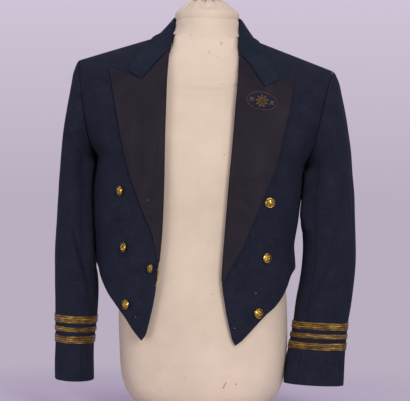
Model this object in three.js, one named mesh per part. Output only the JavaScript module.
import * as THREE from 'three';

// A short, open mess jacket on a limbless dress form.
// Millimetres, +Z up. The front faces -Y and +X is the wearer's left.
// The origin is the middle of the form's flat underside.
// Side -1 is the wearer's right and side +1 the wearer's left. Shapes are worked out for the left
// and mirrored.

// Cloth walls and clearances
const CLOTH_WALL = 2;
const FACING_WALL = 2.4;
const LACE_WALL = 1.1;
const PATCH_WALL = 1.4;
const SEAM_GAP = 0.3;
const LAY_GAP = 0.95;
const COLLAR_GAP = 1.45;
const BUTTON_GAP = 0.65;
const ARMHOLE_GAP = 0.45;

// Shoulders
const NECK_POINT_X = 75;
const NECK_POINT_Z = 704.5;
const SHOULDER_POINT_X = 238.7;
const SHOULDER_SLOPE = 0.342;
const FRONT_ROUNDING = 70;
const BACK_ROUNDING = 95;

// The jacket sits lower on the wearer's left shoulder: it is rolled about the base of the neck
const JACKET_ROLL = THREE.MathUtils.degToRad(1.93);
const ROLL_CENTRE_Z = 700;

// Sections and seams
const SQUARENESS = 0.035;
const SIDE_SEAM_ANGLE = THREE.MathUtils.degToRad(97);
const SIDE_SEAM_RADIUS = 115;
const SIDE_HEM_Z = 281;
const BACK_HEM_Z = 262;
const ARMPIT_Z = 468;
const BICEP_Z = 400;

// Cuff laces: distances above the sleeve's lace base, which lies laceRise above the cuff hem
const LACES = [
  { name: 1, bottom: 102, top: 116 },
  { name: 2, bottom: 86, top: 94.5 },
  { name: 3, bottom: 65, top: 79 },
];

// Front buttons
const BUTTON_RADIUS = 9.5;
const BUTTON_SIDES = 14;

// Jacket body: half width, and depth in front of and behind the shoulder line, at each height
const BODY = [
  { z: 110, half: 184, front: 128, back: 120 },
  { z: 200, half: 184, front: 128, back: 119 },
  { z: 263, half: 183, front: 126, back: 117 },
  { z: 310, half: 182, front: 122.5, back: 110 },
  { z: 340, half: 184.5, front: 121.5, back: 110 },
  { z: 373, half: 189, front: 122, back: 112 },
  { z: 420, half: 192.5, front: 124, back: 114 },
  { z: 468, half: 195, front: 124, back: 116 },
  { z: 480, half: 203, front: 123, back: 117 },
  { z: 500, half: 217, front: 121, back: 117 },
  { z: 530, half: 232, front: 118.5, back: 117 },
  { z: 560, half: 241, front: 114, back: 116 },
  { z: 600, half: 247, front: 103, back: 112 },
  { z: 644, half: 251.5, front: 82, back: 108 },
  { z: 674, half: 253, front: 64, back: 106 },
  { z: 700, half: 255, front: 50, back: 112 },
  { z: 730, half: 256, front: 40, back: 118 },
];

// Front edge from the hem point up, then the roll line up to the neck point: distance from the
// centre line on the wearer's right and left
const FRONT_EDGE = [
  { z: 136, right: 84.5, left: 86.5 },
  { z: 150, right: 76, left: 79 },
  { z: 188, right: 68, left: 68.5 },
  { z: 218, right: 63.5, left: 62 },
  { z: 247, right: 61, left: 57 },
  { z: 281, right: 59, left: 56.5 },
  { z: 334, right: 57, left: 58 },
  { z: 380, right: 57, left: 59.5 },
  { z: 438, right: 58, left: 61.5 },
  { z: 495, right: 60, left: 64 },
  { z: 565, right: 62, left: 66 },
  { z: 620, right: 64, left: 67 },
  { z: 667, right: 65, left: 66 },
  { z: 690, right: 68, left: 69 },
  { z: NECK_POINT_Z, right: NECK_POINT_X, left: NECK_POINT_X },
];

// Front hem from the point out to the side: height on the wearer's right and left
const FRONT_HEM = [
  { x: 100, right: 152, left: 148 },
  { x: 120, right: 178, left: 171 },
  { x: 139, right: 200, left: 193 },
  { x: 152, right: 215, left: 206 },
  { x: 164, right: 234, left: 226 },
  { x: 171, right: 248, left: 244 },
  { x: 178, right: 266, left: 268 },
];

// Armhole from the armpit up: angle round the body of its front and back edge, in degrees
const ARMHOLE = [
  { z: ARMPIT_Z, front: 97, back: 97 },
  { z: 471, front: 89, back: 104 },
  { z: 480, front: 80, back: 111 },
  { z: 500, front: 71, back: 116 },
  { z: 530, front: 64.5, back: 119.5 },
  { z: 562, front: 62.5, back: 120.5 },
  { z: 600, front: 64, back: 118 },
  { z: 626, front: 66, back: 114.5 },
];

// Back neckline from the neck point to the centre back
const BACK_NECK = [
  { x: 60, z: 703.5 },
  { x: 40, z: 705.5 },
  { x: 20, z: 709 },
  { x: 0, z: 711.5 },
];

// Lapel outer edge from its lower end up to the peak
const LAPEL_EDGE = {
  right: [
    { x: 59.5, z: 281 },
    { x: 75, z: 332 },
    { x: 97, z: 379 },
    { x: 125, z: 449 },
    { x: 143, z: 515 },
    { x: 163, z: 596 },
    { x: 172, z: 630 },
  ],
  left: [
    { x: 58, z: 250 },
    { x: 66, z: 266 },
    { x: 89.4, z: 312 },
    { x: 110, z: 370 },
    { x: 128.5, z: 423 },
    { x: 145, z: 471 },
    { x: 156, z: 534 },
    { x: 163.7, z: 576 },
    { x: 169, z: 630 },
  ],
};
const GORGE_TOP_Z = 667;
const NOTCH = { right: { x: 110, z: 609 }, left: { x: 117, z: 605 } };
const COLLAR_CORNER = { right: { x: 136.5, z: 627 }, left: { x: 141.5, z: 624.5 } };

// Collar from its front end to the centre back: the fold line, and the outer edge, which lies on
// the front or the back of the body. The edge starts at the collar's corner.
const COLLAR = [
  { foldX: 66, foldY: -58, foldZ: 668 },
  { foldX: 67, foldY: -47, foldZ: 684, edgeX: 126, edgeZ: 650, lies: 'front' },
  { foldX: 66.5, foldY: -31, foldZ: 706, edgeX: 108.5, edgeZ: 676, lies: 'front' },
  { foldX: 64.5, foldY: -12, foldZ: 727, edgeX: 95, edgeZ: 693.5, lies: 'front' },
  { foldX: 63, foldY: 10, foldZ: 738, edgeX: 89, edgeZ: 698.5, lies: 'back' },
  { foldX: 56, foldY: 33, foldZ: 744, edgeX: 80, edgeZ: 694, lies: 'back' },
  { foldX: 36, foldY: 53, foldZ: 747, edgeX: 54, edgeZ: 693, lies: 'back' },
  { foldX: 0, foldY: 63, foldZ: 748, edgeX: 0, edgeZ: 700, lies: 'back' },
];
const END_REACH = 0.34;
const STAND_START = 0.42;
const STAND_BELOW_FOLD = 3.2;
const STAND_INSIDE_FOLD = 0.968;

// Sleeves: outer and inner distance from the centre line, middle and half depth front to back
const SLEEVES = {
  right: {
    cuff: 51.5,
    laceRise: 4,
    headSlope: 0.42,
    sections: [
      { z: 51.5, outer: 250.5, inner: 179, middle: -34, depth: 55 },
      { z: 119, outer: 254, inner: 182, middle: -29, depth: 55.5 },
      { z: 168, outer: 256.5, inner: 179, middle: -24, depth: 56 },
      { z: 230, outer: 262, inner: 180, middle: -16, depth: 57 },
      { z: 290, outer: 265.5, inner: 187.5, middle: -9, depth: 59 },
      { z: 340, outer: 266.3, inner: 193.5, middle: -5, depth: 60 },
      { z: BICEP_Z, outer: 266, inner: 198, middle: -1, depth: 63 },
    ],
  },
  left: {
    cuff: 66,
    laceRise: 0,
    headSlope: 0.64,
    sections: [
      { z: 66, outer: 286.3, inner: 175, middle: -32, depth: 37 },
      { z: 105, outer: 287, inner: 176.5, middle: -29, depth: 37.5 },
      { z: 139, outer: 287.6, inner: 182, middle: -26, depth: 39 },
      { z: 178, outer: 289.5, inner: 187.5, middle: -22, depth: 42 },
      { z: 217, outer: 294, inner: 190.5, middle: -17, depth: 46 },
      { z: 266, outer: 298, inner: 197, middle: -11, depth: 49 },
      { z: 315, outer: 298, inner: 199, middle: -6, depth: 52 },
      { z: 363, outer: 295, inner: 195, middle: -3, depth: 55 },
      { z: BICEP_Z, outer: 292, inner: 196.5, middle: -1, depth: 58 },
    ],
  },
};
const FRONT_SLEEVE_SEAM = 9;
const CAP_ROWS = [0, 0.05, 0.14, 0.28, 0.45, 0.63, 0.82, 1];
const CAP_PULL = 0.6;
const FOREARM_STEPS = 5;

// Rows of a piece that lies on the body stand closer together towards its top
const CLOSER_UP = 0.35;

// Rows up a body panel: below the armpit in fractions of the side seam, above it in fractions of
// the armhole, closer together where the shoulder rounds over
const ARMPIT_V = 0.42;
const SIDE_ROWS = 7;
const ARMHOLE_ROWS = [0, 0.11, 0.22, 0.33, 0.44, 0.55, 0.65, 0.75, 0.84, 0.915, 0.965, 0.99, 1];

// Dress form: half width, and depth in front and behind
const FORM = [
  { z: 0, half: 100, front: 72, back: 72 },
  { z: 5, half: 111, front: 83, back: 83 },
  { z: 15, half: 122, front: 94, back: 93 },
  { z: 34, half: 138, front: 106, back: 105 },
  { z: 60, half: 148.5, front: 113, back: 112 },
  { z: 85, half: 152.5, front: 116, back: 116 },
  { z: 125, half: 155.5, front: 117.5, back: 118 },
  { z: 170, half: 157.5, front: 117.5, back: 117 },
  { z: 215, half: 156.5, front: 115.5, back: 112 },
  { z: 263, half: 150.5, front: 111, back: 105 },
  { z: 310, half: 146, front: 108, back: 99 },
  { z: 360, half: 149.5, front: 109, back: 100 },
  { z: 415, half: 158, front: 111, back: 103 },
  { z: 470, half: 165.5, front: 111, back: 106 },
  { z: 520, half: 169.5, front: 107, back: 107 },
  { z: 565, half: 171, front: 100, back: 105 },
  { z: 605, half: 171, front: 90, back: 101 },
  { z: 635, half: 170, front: 78, back: 94 },
  { z: 656, half: 167, front: 67, back: 88 },
  { z: 672.5, half: 160, front: 60, back: 82 },
  { z: 686.2, half: 120, front: 55, back: 76 },
  { z: 696.4, half: 89.8, front: 54, back: 70 },
  { z: 701.6, half: 74.5, front: 54.5, back: 63 },
  { z: 708, half: 66, front: 55, back: 59 },
  { z: 718, half: 61, front: 55.5, back: 57.5 },
  { z: 734, half: 59.5, front: 55.5, back: 56 },
  { z: 745, half: 58.8, front: 54.5, back: 55 },
  { z: 750, half: 55.5, front: 51.5, back: 53 },
  { z: 757, half: 48, front: 44.5, back: 46 },
  { z: 765, half: 38, front: 35.5, back: 36.5 },
  { z: 769, half: 29, front: 27, back: 28 },
];
const FORM_SIDES = 32;
const ROUND_NECK_START_Z = 690;
const ROUND_NECK_Z = 712;
const TILT_START_Z = 400;
const TILT_FULL_Z = 600;
const TILT_FADE_Z = 705;
const TILT_END_Z = 740;
// Under the jacket's shoulders the form keeps this far below it, and to a share of its depth that
// grows away from the shoulder line. Between the fronts it may stand further out.
const FORM_DROP = 2.6;
const FORM_SHARE_AT_RIDGE = 0.6;
const FORM_SHARE_BELOW = 0.93;
const FORM_SHARE_REACH = 60;
const OPENING_BULGE = 14;
const OPENING_FULL_X = 38;
const OPENING_END_X = 62;

const MATERIALS = {
  navyCloth: new THREE.MeshStandardMaterial({ color: 0x1f2535, roughness: 0.85, metalness: 0 }),
  collarCloth: new THREE.MeshStandardMaterial({ color: 0x232c3e, roughness: 0.85, metalness: 0 }),
  facingSilk: new THREE.MeshStandardMaterial({ color: 0x2e2932, roughness: 0.5, metalness: 0 }),
  goldLace: new THREE.MeshStandardMaterial({ color: 0x9a7430, roughness: 0.45, metalness: 0.6 }),
  giltBrass: new THREE.MeshStandardMaterial({ color: 0xb88a3a, roughness: 0.3, metalness: 1 }),
  patchCloth: new THREE.MeshStandardMaterial({ color: 0x2b3350, roughness: 0.8, metalness: 0 }),
  formCover: new THREE.MeshStandardMaterial({ color: 0xd9c8ba, roughness: 0.9, metalness: 0 }),
};

const SIDES = [
  { name: 'right', sign: -1 },
  { name: 'left', sign: 1 },
];

// Smooth curve through one column of a table whose rows rise in another column
function smoothColumn(table, key, column) {
  const keys = table.map((row) => row[key]);
  const values = table.map((row) => row[column]);
  const last = keys.length - 1;
  const slopes = keys.map((_, i) => {
    const before = Math.max(i - 1, 0);
    const after = Math.min(i + 1, last);
    return (values[after] - values[before]) / (keys[after] - keys[before]);
  });
  return (at) => {
    let i = 0;
    while (i < last - 1 && at > keys[i + 1]) i += 1;
    const span = keys[i + 1] - keys[i];
    const t = THREE.MathUtils.clamp((at - keys[i]) / span, 0, 1);
    const t2 = t * t;
    const t3 = t2 * t;
    return (
      (2 * t3 - 3 * t2 + 1) * values[i] +
      (t3 - 2 * t2 + t) * span * slopes[i] +
      (3 * t2 - 2 * t3) * values[i + 1] +
      (t3 - t2) * span * slopes[i + 1]
    );
  };
}

const bodyHalf = smoothColumn(BODY, 'z', 'half');
const bodyFront = smoothColumn(BODY, 'z', 'front');
const bodyBack = smoothColumn(BODY, 'z', 'back');

// A rounded section: half-width and depth factors at an angle from straight ahead
const across = (a) => (Math.sin(a) + SQUARENESS * Math.sin(3 * a)) / (1 - SQUARENESS);
const ahead = (a) => (Math.cos(a) - SQUARENESS * Math.cos(3 * a)) / (1 - SQUARENESS);

const shoulderHeight = (x) => NECK_POINT_Z - (Math.abs(x) - NECK_POINT_X) * SHOULDER_SLOPE;
const SHOULDER_NORMAL = new THREE.Vector3(SHOULDER_SLOPE, 0, 1).normalize();
const NEAR_RIDGE = 0.5;

// Outer surface of the jacket's body. Near the shoulder line the depth rounds over to nothing.
function bodyPoint(angle, z) {
  const x = bodyHalf(z) * across(angle);
  const isFront = ahead(angle) > 0;
  const rounding = isFront ? FRONT_ROUNDING : BACK_ROUNDING;
  const below = THREE.MathUtils.clamp((shoulderHeight(x) - z) / rounding, 0, 1);
  const depth = isFront ? bodyFront(z) : bodyBack(z);
  return new THREE.Vector3(x, -depth * ahead(angle) * Math.sqrt(1 - (1 - below) ** 2), z);
}

function bodyNormal(angle, z) {
  const x = bodyHalf(z) * across(angle);
  if (shoulderHeight(x) - z < NEAR_RIDGE) return SHOULDER_NORMAL.clone();
  const step = 0.002;
  const rise = 0.2;
  const round = bodyPoint(angle + step, z).sub(bodyPoint(angle - step, z));
  const up = bodyPoint(angle, z + rise).sub(bodyPoint(angle, z - rise));
  return round.cross(up).normalize();
}

// Angle round the front half, or the back half, at which the body is x wide
function angleAt(x, z, lies = 'front') {
  const wanted = Math.min(Math.abs(x) / bodyHalf(z), 1);
  let low = 0;
  let high = Math.PI / 2;
  for (let i = 0; i < 40; i += 1) {
    const middle = (low + high) / 2;
    if (across(middle) < wanted) low = middle;
    else high = middle;
  }
  return lies === 'front' ? low : Math.PI - low;
}

// A point above the body's surface, given in front view
function onBody(x, z, lift, lies = 'front') {
  const angle = angleAt(x, z, lies);
  return bodyPoint(angle, z).addScaledVector(bodyNormal(angle, z), lift);
}

function mirrored(point, sign) {
  return new THREE.Vector3(point.x * sign, point.y, point.z);
}

// A closed solid from vertices and triangles, turned so that its faces point out
function closedSolid(vertices, triangles) {
  let volume = 0;
  for (const [a, b, c] of triangles) {
    volume += vertices[a].dot(vertices[b].clone().cross(vertices[c]));
  }
  const facing = volume > 0 ? triangles : triangles.map(([a, b, c]) => [a, c, b]);
  const geometry = new THREE.BufferGeometry();
  const positions = vertices.flatMap((vertex) => vertex.toArray());
  geometry.setAttribute('position', new THREE.Float32BufferAttribute(positions, 3));
  geometry.setIndex(facing.flat());
  geometry.computeVertexNormals();
  return geometry;
}

// A wall between two equal grids of points, closed along its four borders
function wallBetween(outer, inner) {
  const rows = outer.length;
  const columns = outer[0].length;
  const vertices = [...outer.flat(), ...inner.flat()];
  const skin = rows * columns;
  const at = (i, j) => i * columns + j;
  const triangles = [];
  const quad = (a, b, c, d) => triangles.push([a, b, c], [a, c, d]);
  for (let i = 0; i < rows - 1; i += 1) {
    for (let j = 0; j < columns - 1; j += 1) {
      quad(at(i, j), at(i + 1, j), at(i + 1, j + 1), at(i, j + 1));
      quad(skin + at(i, j), skin + at(i, j + 1), skin + at(i + 1, j + 1), skin + at(i + 1, j));
    }
  }
  const border = [];
  for (let j = 0; j < columns - 1; j += 1) border.push(at(0, j));
  for (let i = 0; i < rows - 1; i += 1) border.push(at(i, columns - 1));
  for (let j = columns - 1; j > 0; j -= 1) border.push(at(rows - 1, j));
  for (let i = rows - 1; i > 0; i -= 1) border.push(at(i, 0));
  border.forEach((from, k) => {
    const to = border[(k + 1) % border.length];
    quad(from, to, skin + to, skin + from);
  });
  return closedSolid(vertices, triangles);
}

// A solid through closed loops. It ends in flat caps, or joins its last loop to its first.
function loftSolid(loops, joined = false) {
  const sides = loops[0].length;
  const vertices = loops.flat();
  const triangles = [];
  const spans = joined ? loops.length : loops.length - 1;
  for (let i = 0; i < spans; i += 1) {
    const next = (i + 1) % loops.length;
    for (let j = 0; j < sides; j += 1) {
      const k = (j + 1) % sides;
      triangles.push([i * sides + j, i * sides + k, next * sides + k]);
      triangles.push([i * sides + j, next * sides + k, next * sides + j]);
    }
  }
  if (!joined) {
    for (const end of [0, loops.length - 1]) {
      const middle = new THREE.Vector3();
      loops[end].forEach((point) => middle.addScaledVector(point, 1 / sides));
      const centre = vertices.push(middle) - 1;
      for (let j = 0; j < sides; j += 1) {
        const from = end * sides + j;
        const to = end * sides + ((j + 1) % sides);
        triangles.push(end === 0 ? [centre, to, from] : [centre, from, to]);
      }
    }
  }
  return closedSolid(vertices, triangles);
}

// A four-sided patch in a flat domain, blended between its four border curves
function blendedPatch(bottom, top, start, end) {
  const corners = [bottom(0), bottom(1), top(0), top(1)];
  return (u, v) => {
    const point = bottom(u).multiplyScalar(1 - v).addScaledVector(top(u), v);
    point.addScaledVector(start(v), 1 - u).addScaledVector(end(v), u);
    point.addScaledVector(corners[0], -(1 - u) * (1 - v)).addScaledVector(corners[1], -u * (1 - v));
    return point.addScaledVector(corners[2], -(1 - u) * v).addScaledVector(corners[3], -u * v);
  };
}

// A smooth curve through domain points, and a straight one
function through(points) {
  const curve = new THREE.SplineCurve(points);
  return (t) => curve.getPointAt(t);
}

const between = (from, to) => (t) => from.clone().lerp(to, t);

// Domain points are an angle round the body and a height
const inFront = (x, z) => new THREE.Vector2(angleAt(x, z, 'front'), z);
const behind = (x, z) => new THREE.Vector2(angleAt(x, z, 'back'), z);

// Border of a panel along the side seam and then the armhole
function sideBorder(edge) {
  const seamShift = ((edge === 'front' ? -1 : 1) * SEAM_GAP) / 2 / SIDE_SEAM_RADIUS;
  const hem = new THREE.Vector2(SIDE_SEAM_ANGLE + seamShift, SIDE_HEM_Z);
  const armpit = new THREE.Vector2(SIDE_SEAM_ANGLE + seamShift, ARMPIT_Z);
  const shoulderZ = shoulderHeight(SHOULDER_POINT_X);
  const shoulder = new THREE.Vector2(angleAt(SHOULDER_POINT_X, shoulderZ, edge), shoulderZ);
  const edgePoints = ARMHOLE.slice(1).map(
    (row) => new THREE.Vector2(THREE.MathUtils.degToRad(row[edge]), row.z),
  );
  // Angles become lengths round the body, so that equal steps are about equal lengths of cloth
  const points = [armpit, ...edgePoints, shoulder];
  const flat = points.map((point) => new THREE.Vector2(point.x * SIDE_SEAM_RADIUS, point.y));
  const curve = new THREE.SplineCurve(flat);
  return (v) => {
    if (v <= ARMPIT_V) return hem.clone().lerp(armpit, v / ARMPIT_V);
    const point = curve.getPointAt((v - ARMPIT_V) / (1 - ARMPIT_V));
    return new THREE.Vector2(point.x / SIDE_SEAM_RADIUS, point.y);
  };
}

const frontSideBorder = sideBorder('front');
const backSideBorder = sideBorder('back');

const PANEL_ROWS = [
  ...Array.from({ length: SIDE_ROWS }, (_, i) => (i / SIDE_ROWS) * ARMPIT_V),
  ...ARMHOLE_ROWS.map((w) => ARMPIT_V + w * (1 - ARMPIT_V)),
];

// A body panel from its domain patch: rows up, columns across, wall inwards
function bodyPanel(domain, columns, sign, seamY) {
  const outer = [];
  const inner = [];
  for (const v of PANEL_ROWS) {
    const outerRow = [];
    const innerRow = [];
    for (let j = 0; j <= columns; j += 1) {
      const { x: angle, y: z } = domain(j / columns, v);
      const point = bodyPoint(angle, z);
      const normal = bodyNormal(angle, z);
      const onSeam = shoulderHeight(point.x) - z < NEAR_RIDGE && point.x > NECK_POINT_X - 1;
      if (onSeam) point.y += seamY;
      outerRow.push(mirrored(point, sign));
      innerRow.push(mirrored(point.clone().addScaledVector(normal, -CLOTH_WALL), sign));
    }
    outer.push(outerRow);
    inner.push(innerRow);
  }
  return wallBetween(outer, inner);
}

const shoulderSeam = (lies) => (t) => {
  const x = NECK_POINT_X + (SHOULDER_POINT_X - NECK_POINT_X) * t;
  return new THREE.Vector2(angleAt(x, shoulderHeight(x), lies), shoulderHeight(x));
};

function frontPanel(side) {
  const edge = through(FRONT_EDGE.map((row) => inFront(row[side.name], row.z)));
  const hem = through([
    edge(0),
    ...FRONT_HEM.map((row) => inFront(row.x, row[side.name])),
    frontSideBorder(0),
  ]);
  const domain = blendedPatch(hem, shoulderSeam('front'), edge, frontSideBorder);
  return bodyPanel(domain, 10, side.sign, -SEAM_GAP / 2);
}

function backPanel(side) {
  const centreShift = SEAM_GAP / bodyHalf(NECK_POINT_Z);
  const centre = Math.PI - centreShift;
  const neckStart = 0.55;
  const seam = shoulderSeam('back');
  const neckline = through([
    behind(NECK_POINT_X, NECK_POINT_Z),
    ...BACK_NECK.slice(0, -1).map((row) => behind(row.x, row.z)),
    new THREE.Vector2(centre, BACK_NECK.at(-1).z),
  ]);
  const top = (u) => {
    if (u <= neckStart) return seam(1 - u / neckStart);
    return neckline((u - neckStart) / (1 - neckStart));
  };
  const hemAtCentre = new THREE.Vector2(centre, BACK_HEM_Z);
  const hem = between(backSideBorder(0), hemAtCentre);
  const centreSeam = between(hemAtCentre, new THREE.Vector2(centre, BACK_NECK.at(-1).z));
  const domain = blendedPatch(hem, top, backSideBorder, centreSeam);
  return bodyPanel(domain, 10, side.sign, SEAM_GAP / 2);
}

// Armhole loop from the shoulder point down the front, then up the back, on the panels' own rows
function armholeDomain() {
  const front = ARMHOLE_ROWS.map((w) => frontSideBorder(ARMPIT_V + w * (1 - ARMPIT_V)));
  const back = ARMHOLE_ROWS.map((w) => backSideBorder(ARMPIT_V + w * (1 - ARMPIT_V)));
  return [...front.reverse(), ...back.slice(1, -1)];
}

function armholeLoop() {
  return armholeDomain().map(({ x: angle, y: z }) => {
    const point = bodyPoint(angle, z);
    point.x += ARMHOLE_GAP;
    return point;
  });
}

// Angle round the sleeve of each point of the loop: 0 outside, a quarter turn in front, a half
// turn inside, in step with the length of the armhole
function loopAngles(loop) {
  const half = ARMHOLE_ROWS.length - 1;
  const lengths = loop.map((point, i) => point.distanceTo(loop[(i + 1) % loop.length]));
  const frontLength = lengths.slice(0, half).reduce((sum, length) => sum + length, 0);
  const backLength = lengths.slice(half).reduce((sum, length) => sum + length, 0);
  const angles = [];
  let walked = 0;
  loop.forEach((_, i) => {
    if (i <= half) angles.push((walked / frontLength) * Math.PI);
    else angles.push(Math.PI + ((walked - frontLength) / backLength) * Math.PI);
    walked += lengths[i];
  });
  return angles;
}

// Sleeve surface: a ring below the bicep line, and the cap that joins it to the armhole
function sleeveSurface(side) {
  const { sections, cuff, laceRise, headSlope } = SLEEVES[side.name];
  const columns = ['outer', 'inner', 'middle', 'depth'];
  const [outerAt, innerAt, middleAt, depthAt] = columns.map((c) => smoothColumn(sections, 'z', c));
  const loop = armholeLoop();
  const angles = loopAngles(loop);
  const edgeNormals = armholeDomain().map(({ x: angle, y: z }) => bodyNormal(angle, z));

  const ringPoint = (angle, z) => {
    const halfWidth = (outerAt(z) - innerAt(z)) / 2;
    const centreX = (outerAt(z) + innerAt(z)) / 2;
    const x = centreX + halfWidth * Math.cos(angle);
    return new THREE.Vector3(x, middleAt(z) - depthAt(z) * Math.sin(angle), z);
  };

  // Direction in which the cap leaves the armhole
  const leaving = (angle) => {
    const upper = Math.max(Math.cos(angle), 0) ** 2;
    const lower = Math.max(-Math.cos(angle), 0) ** 2;
    const flank = Math.sin(angle) ** 2;
    const x = headSlope * upper + 0.28 * lower + 1.2 * flank;
    return new THREE.Vector3(x, -0.45 * Math.sin(angle) * flank, -1).normalize();
  };

  const capPoint = (column, t) => {
    const angle = angles[column];
    const from = loop[column];
    const to = ringPoint(angle, BICEP_Z);
    const length = from.distanceTo(to);
    const pull = leaving(angle).multiplyScalar(length * CAP_PULL);
    const arrive = to.clone().sub(ringPoint(angle, BICEP_Z - 20)).setLength(-length);
    const t2 = t * t;
    const t3 = t2 * t;
    const point = from.clone().multiplyScalar(2 * t3 - 3 * t2 + 1);
    point.addScaledVector(pull, t3 - 2 * t2 + t);
    return point.addScaledVector(to, 3 * t2 - 2 * t3).addScaledVector(arrive, t3 - t2);
  };
  return { ringPoint, capPoint, angles, edgeNormals, cuff, laceBase: cuff + laceRise };
}

// Heights of the sleeve's rings above the cuff hem: the hem, each edge of each lace, and on up
function ringHeights({ cuff, laceBase }) {
  const laceEdges = LACES.flatMap((lace) => [lace.bottom, lace.top]).sort((a, b) => a - b);
  const edges = laceEdges.map((above) => laceBase + above);
  const start = edges.at(-1);
  const step = (BICEP_Z - start) / (FOREARM_STEPS + 1);
  const rest = Array.from({ length: FOREARM_STEPS }, (_, i) => start + step * (i + 1));
  return [cuff, cuff + LACES.at(-1).bottom / 2, ...edges, ...rest];
}

// All rings of a sleeve, from the cuff up to the armhole
function sleeveRings(surface) {
  const { ringPoint, capPoint, angles } = surface;
  const rings = ringHeights(surface).map((z) => angles.map((angle) => ringPoint(angle, z)));
  const caps = [...CAP_ROWS].reverse().map((t) => angles.map((_, column) => capPoint(column, t)));
  return [...rings, ...caps];
}

// Outward directions at the points of a sleeve's rings
function ringNormals(rings) {
  const last = rings.length - 1;
  return rings.map((ring, i) =>
    ring.map((_, j) => {
      const round = ring[(j + 1) % ring.length].clone().sub(ring[(j - 1 + ring.length) % ring.length]);
      const up = rings[Math.min(i + 1, last)][j].clone().sub(rings[Math.max(i - 1, 0)][j]);
      return up.cross(round).normalize();
    }),
  );
}

// Over the shoulder the sleeve's first edge stands square to the body, as the panels' edges do
function turnTopEdge(normals, surface) {
  const edge = normals.at(-1);
  edge.forEach((normal, j) => {
    const weight = Math.max(Math.cos(surface.angles[j]), 0);
    normal.lerp(surface.edgeNormals[j], weight).normalize();
  });
}

// One piece of a two-piece sleeve, between two of its columns, with half a seam gap at each side
function sleevePiece(side, fromColumn, toColumn) {
  const surface = sleeveSurface(side);
  const rings = sleeveRings(surface);
  const normals = ringNormals(rings);
  turnTopEdge(normals, surface);
  const count = rings[0].length;
  const outer = [];
  const inner = [];
  rings.forEach((ring, i) => {
    const outerRow = [];
    const innerRow = [];
    for (let k = fromColumn; k <= toColumn; k += 1) {
      const j = (k + count) % count;
      const point = ring[j].clone();
      const towards = k === fromColumn ? (j + 1) % count : (j - 1 + count) % count;
      if (k === fromColumn || k === toColumn) {
        point.addScaledVector(ring[towards].clone().sub(ring[j]).normalize(), SEAM_GAP / 2);
      }
      outerRow.push(mirrored(point, side.sign));
      innerRow.push(mirrored(point.addScaledVector(normals[i][j], -CLOTH_WALL), side.sign));
    }
    outer.push(outerRow);
    inner.push(innerRow);
  });
  return wallBetween(outer, inner);
}

// A lace band lies on the sleeve between two of its rings
function laceBand(side, lace) {
  const surface = sleeveSurface(side);
  const rings = sleeveRings(surface);
  const normals = ringNormals(rings);
  const heights = ringHeights(surface);
  const edges = [lace.bottom, lace.top].map((above) => heights.indexOf(surface.laceBase + above));
  const loopAt = (row, lift) =>
    rings[row].map((point, j) => {
      const flat = normals[row][j].clone().setZ(0).normalize();
      return mirrored(point.clone().addScaledVector(flat, lift), side.sign);
    });
  const [low, high] = edges;
  const inside = SEAM_GAP;
  const outside = SEAM_GAP + LACE_WALL;
  const loops = [loopAt(low, inside), loopAt(low, outside), loopAt(high, outside), loopAt(high, inside)];
  return loftSolid(loops, true);
}

// A panel in front view that lies on the body: lifted by a gap, with its wall outwards
function laidPanel(view, rows, columns, gap, wall, sign) {
  const grid = (lift) =>
    Array.from({ length: rows + 1 }, (_, i) =>
      Array.from({ length: columns + 1 }, (_unused, j) => {
        const s = i / rows;
        const { x, y: z } = view(j / columns, s * (1 + CLOSER_UP * (1 - s)));
        return mirrored(onBody(x, z, lift), sign);
      }),
    );
  return wallBetween(grid(gap + wall), grid(gap));
}

function lapel(side) {
  const edgeRows = LAPEL_EDGE[side.name];
  const rollX = smoothColumn(FRONT_EDGE, 'z', side.name);
  const endZ = edgeRows[0].z;
  const roll = (v) => {
    const z = endZ + (GORGE_TOP_Z - endZ) * v;
    return new THREE.Vector2(rollX(z), z);
  };
  const edge = through(edgeRows.map((row, i) => new THREE.Vector2(row.x + (i === 0 ? 2 : 0), row.z)));
  const notch = new THREE.Vector2(NOTCH[side.name].x, NOTCH[side.name].z);
  const gorge = between(roll(1), notch);
  const peak = between(notch, edge(1));
  const top = (u) => (u <= 0.5 ? gorge(u * 2) : peak(u * 2 - 1));
  const view = blendedPatch(between(roll(0), edge(0)), top, roll, edge);
  return laidPanel(view, 20, 8, LAY_GAP, FACING_WALL, side.sign);
}

// Moves a point out until it is clear of the body
function clearOfBody(point, lift, lies) {
  const above = point.z - shoulderHeight(point.x);
  if (above > -2) {
    const height = above * SHOULDER_NORMAL.z;
    if (height < lift) point.addScaledVector(SHOULDER_NORMAL, lift - height);
    return point;
  }
  const angle = angleAt(point.x, point.z, lies);
  const surface = bodyPoint(angle, point.z);
  const normal = bodyNormal(angle, point.z);
  const height = point.clone().sub(surface).dot(normal);
  if (height < lift) point.addScaledVector(normal, lift - height);
  return point;
}

// Collar curves on one side, each from the front end (0) to the centre back (1)
function collarCurves(side) {
  const corner = COLLAR_CORNER[side.name];
  const foldPoints = COLLAR.map((row) => new THREE.Vector3(row.foldX, row.foldY, row.foldZ));
  const edgePoints = [
    onBody(corner.x, corner.z, COLLAR_GAP),
    ...COLLAR.slice(1).map((row) => onBody(row.edgeX, row.edgeZ, COLLAR_GAP, row.lies)),
  ];
  const fold = new THREE.CatmullRomCurve3(foldPoints);
  const edge = new THREE.CatmullRomCurve3(edgePoints);
  const notch = NOTCH[side.name];
  const seamShift = SEAM_GAP * 1.5;
  const low = onBody(notch.x + seamShift, notch.z + seamShift * 2, COLLAR_GAP);
  return { fold: (t) => fold.getPoint(t), edge: (t) => edge.getPoint(t), low };
}

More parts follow.
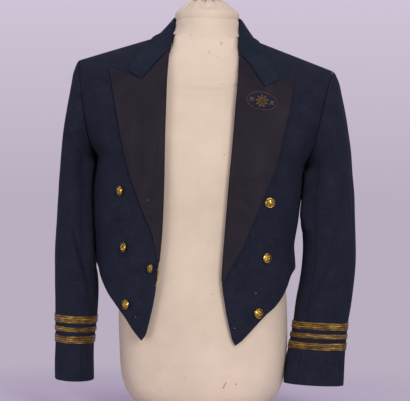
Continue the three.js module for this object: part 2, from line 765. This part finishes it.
function collarFall() {
  const bySide = { '-1': collarCurves(SIDES[0]), 1: collarCurves(SIDES[1]) };
  const columns = 8;
  const steps = 14;
  const pointAt = (sign, t, v) => {
    const { fold, edge, low } = bySide[sign];
    const point = fold(t).lerp(edge(t), v);
    const straight = fold(0).lerp(edge(0), v);
    const bent = v <= 0.5 ? fold(0).lerp(low, v * 2) : low.clone().lerp(edge(0), v * 2 - 1);
    const weight = Math.max(1 - t / END_REACH, 0) ** 2;
    return point.addScaledVector(bent.sub(straight), weight);
  };
  const rows = [];
  for (let i = -steps; i <= steps; i += 1) {
    const sign = i < 0 ? -1 : 1;
    const t = 1 - Math.abs(i) / steps;
    const row = [];
    for (let j = 0; j <= columns; j += 1) {
      const point = pointAt(sign, t, j / columns);
      const lies = point.y > 0 ? 'back' : 'front';
      row.push(mirrored(clearOfBody(point, COLLAR_GAP, lies), sign));
    }
    rows.push(row);
  }
  return wallBetween(raised(rows, FACING_WALL), rows);
}

// A grid moved along its own normals, towards the outside of the neck
function raised(grid, lift) {
  const lastRow = grid.length - 1;
  const lastColumn = grid[0].length - 1;
  return grid.map((row, i) =>
    row.map((point, j) => {
      const down = grid[Math.min(i + 1, lastRow)][j].clone().sub(grid[Math.max(i - 1, 0)][j]);
      const side = row[Math.min(j + 1, lastColumn)].clone().sub(row[Math.max(j - 1, 0)]);
      return point.clone().addScaledVector(down.cross(side).normalize(), lift);
    }),
  );
}

// The stand rises inside the fall from the neckline to just under the fold
function collarStand() {
  const { fold } = collarCurves(SIDES[1]);
  const neckline = new THREE.CatmullRomCurve3([
    onBody(71, 698, 0),
    new THREE.Vector3(NECK_POINT_X, 0, NECK_POINT_Z),
    ...BACK_NECK.map((row) => onBody(row.x, row.z, 0, 'back')),
  ]);
  const steps = 12;
  const levels = 3;
  const rows = [];
  for (let i = -steps; i <= steps; i += 1) {
    const sign = i < 0 ? -1 : 1;
    const t = 1 - Math.abs(i) / steps;
    const foot = neckline.getPoint(t);
    foot.z += SEAM_GAP * 3;
    const head = fold(STAND_START + (1 - STAND_START) * t);
    head.multiply(new THREE.Vector3(STAND_INSIDE_FOLD, STAND_INSIDE_FOLD, 1));
    head.z -= STAND_BELOW_FOLD;
    const row = [];
    for (let j = 0; j <= levels; j += 1) row.push(mirrored(foot.clone().lerp(head, j / levels), sign));
    rows.push(row);
  }
  return wallBetween(rows, raised(rows, -CLOTH_WALL));
}

// Places a shape made round +Z so that it stands on the body
function standOnBody(mesh, sign, x, z, lift) {
  const angle = angleAt(x, z);
  const normal = mirrored(bodyNormal(angle, z), sign);
  mesh.position.copy(mirrored(onBody(x, z, lift), sign));
  mesh.quaternion.setFromUnitVectors(new THREE.Vector3(0, 0, 1), normal);
  return mesh;
}

function buttonGeometry(radius) {
  const profile = [
    [0, 0],
    [0.34, 0],
    [0.34, 0.2],
    [0.94, 0.26],
    [1, 0.38],
    [0.58, 0.6],
    [0, 0.7],
  ];
  const points = profile.map(([r, h]) => new THREE.Vector2(r * radius, h * radius));
  return new THREE.LatheGeometry(points, BUTTON_SIDES).rotateX(Math.PI / 2);
}

const FRONT_BUTTONS = [
  { name: 'button_right_1', sign: -1, x: 136.8, z: 406 },
  { name: 'button_right_2', sign: -1, x: 124.1, z: 303 },
  { name: 'button_right_3', sign: -1, x: 114.7, z: 200 },
  { name: 'button_left_1', sign: 1, x: 134.7, z: 397 },
  { name: 'button_left_2', sign: 1, x: 133.4, z: 296 },
  { name: 'button_left_3', sign: 1, x: 123.3, z: 196 },
  { name: 'link_button', sign: -1, x: 70.5, z: 267.5 },
];

// A bent wire that hangs from the link button over the front edge
function linkWire() {
  const wireRadius = 0.8;
  const lift = 1.6;
  const route = [
    onBody(60.5, 268, lift + 1),
    onBody(58.5, 264, lift + 2),
    onBody(57.6, 259, lift + 2),
    onBody(58, 254, lift + 1.4),
    onBody(59.5, 248, lift + 0.6),
    onBody(61.5, 240, lift),
    onBody(63, 236, lift),
  ];
  const path = new THREE.CatmullRomCurve3(route.map((point) => mirrored(point, -1)));
  const section = new THREE.Shape();
  section.absarc(0, 0, wireRadius, 0, Math.PI * 2);
  return new THREE.ExtrudeGeometry(section, { steps: 14, curveSegments: 4, extrudePath: path });
}

// An oval embroidered patch on the left lapel
function lapelPatch() {
  const centre = new THREE.Vector2(111.5, 579.5);
  const halfLength = 29;
  const halfHeight = 17;
  const turn = THREE.MathUtils.degToRad(-8);
  const view = (u, v) => {
    const a = 2 * u - 1;
    const b = 2 * v - 1;
    const x = a * Math.sqrt(1 - (b * b) / 2) * halfLength;
    const z = b * Math.sqrt(1 - (a * a) / 2) * halfHeight;
    return new THREE.Vector2(x, z).rotateAround(new THREE.Vector2(), turn).add(centre);
  };
  return laidPanel(view, 6, 8, LAY_GAP * 2 + FACING_WALL, PATCH_WALL, 1);
}

// The form's shoulders follow the jacket's roll, and its hips and neck stay level
function formRoll(z) {
  const rise = THREE.MathUtils.smoothstep(z, TILT_START_Z, TILT_FULL_Z);
  const fall = 1 - THREE.MathUtils.smoothstep(z, TILT_FADE_Z, TILT_END_Z);
  return JACKET_ROLL * rise * fall;
}

// Greatest depth of the form under the jacket at a point in front view
function roomUnderJacket(x, z, lies) {
  if (z > NECK_POINT_Z - FORM_DROP) return Infinity;
  const depth = Math.abs(bodyPoint(angleAt(x, z + FORM_DROP, lies), z + FORM_DROP).y);
  const outOfOpening = THREE.MathUtils.smoothstep(Math.abs(x), OPENING_FULL_X, OPENING_END_X);
  const inOpening = lies === 'front' ? 1 - outOfOpening : 0;
  const away = THREE.MathUtils.smoothstep(shoulderHeight(x) - z, 0, FORM_SHARE_REACH);
  const share = THREE.MathUtils.lerp(FORM_SHARE_AT_RIDGE, FORM_SHARE_BELOW, away);
  return depth * share + OPENING_BULGE * inOpening;
}

function dressForm() {
  const loops = FORM.map(({ z, half, front, back }) =>
    Array.from({ length: FORM_SIDES }, (_, j) => {
      const angle = (j / FORM_SIDES) * Math.PI * 2;
      const round = THREE.MathUtils.smoothstep(z, ROUND_NECK_START_Z, ROUND_NECK_Z);
      const facing = THREE.MathUtils.lerp(ahead(angle), Math.cos(angle), round);
      const x = half * THREE.MathUtils.lerp(across(angle), Math.sin(angle), round);
      const own = Math.abs(facing) * (facing > 0 ? front : back);
      const depth = Math.min(own, roomUnderJacket(x, z, facing > 0 ? 'front' : 'back'));
      const roll = formRoll(z);
      const above = z - ROLL_CENTRE_Z;
      return new THREE.Vector3(
        x * Math.cos(roll) + above * Math.sin(roll),
        -Math.sign(facing) * depth,
        ROLL_CENTRE_Z - x * Math.sin(roll) + above * Math.cos(roll),
      );
    }),
  );
  return loftSolid(loops);
}

// The gathered end of the form's cover, tied off above the neck
function neckKnob() {
  const foot = FORM.at(-1).z + SEAM_GAP;
  const profile = [
    [0, 0],
    [26.5, 0],
    [28, 4],
    [26.5, 10],
    [21, 15],
    [11, 18],
    [0, 19],
  ];
  const points = profile.map(([r, h]) => new THREE.Vector2(r, h));
  return new THREE.LatheGeometry(points, 20).rotateX(Math.PI / 2).translate(0, 0, foot);
}

function named(name, geometry, material) {
  const mesh = new THREE.Mesh(geometry, material);
  mesh.name = name;
  return mesh;
}

function buildJacket() {
  const jacket = new THREE.Group();
  const topEnd = FRONT_SLEEVE_SEAM;
  for (const side of SIDES) {
    jacket.add(named(`front_${side.name}`, frontPanel(side), MATERIALS.navyCloth));
    jacket.add(named(`back_${side.name}`, backPanel(side), MATERIALS.navyCloth));
    jacket.add(named(`lapel_${side.name}`, lapel(side), MATERIALS.facingSilk));
    const columns = (ARMHOLE_ROWS.length - 1) * 2;
    const topSleeve = sleevePiece(side, -topEnd, topEnd);
    const underSleeve = sleevePiece(side, topEnd, columns - topEnd);
    jacket.add(named(`top_sleeve_${side.name}`, topSleeve, MATERIALS.navyCloth));
    jacket.add(named(`under_sleeve_${side.name}`, underSleeve, MATERIALS.navyCloth));
    for (const lace of LACES) {
      jacket.add(named(`lace_${side.name}_${lace.name}`, laceBand(side, lace), MATERIALS.goldLace));
    }
  }
  jacket.add(named('collar_fall', collarFall(), MATERIALS.collarCloth));
  jacket.add(named('collar_stand', collarStand(), MATERIALS.collarCloth));
  for (const { name, sign, x, z } of FRONT_BUTTONS) {
    const button = named(name, buttonGeometry(BUTTON_RADIUS), MATERIALS.giltBrass);
    jacket.add(standOnBody(button, sign, x, z, BUTTON_GAP));
  }
  jacket.add(named('link_wire', linkWire(), MATERIALS.giltBrass));
  jacket.add(named('lapel_patch', lapelPatch(), MATERIALS.patchCloth));
  jacket.position.z = -ROLL_CENTRE_Z;
  return jacket;
}

const rolled = new THREE.Group();
rolled.add(buildJacket());
rolled.position.z = ROLL_CENTRE_Z;
rolled.rotation.y = JACKET_ROLL;

const part = new THREE.Group();
part.add(rolled);
part.add(named('dress_form', dressForm(), MATERIALS.formCover));
part.add(named('neck_knob', neckKnob(), MATERIALS.formCover));

export default part;
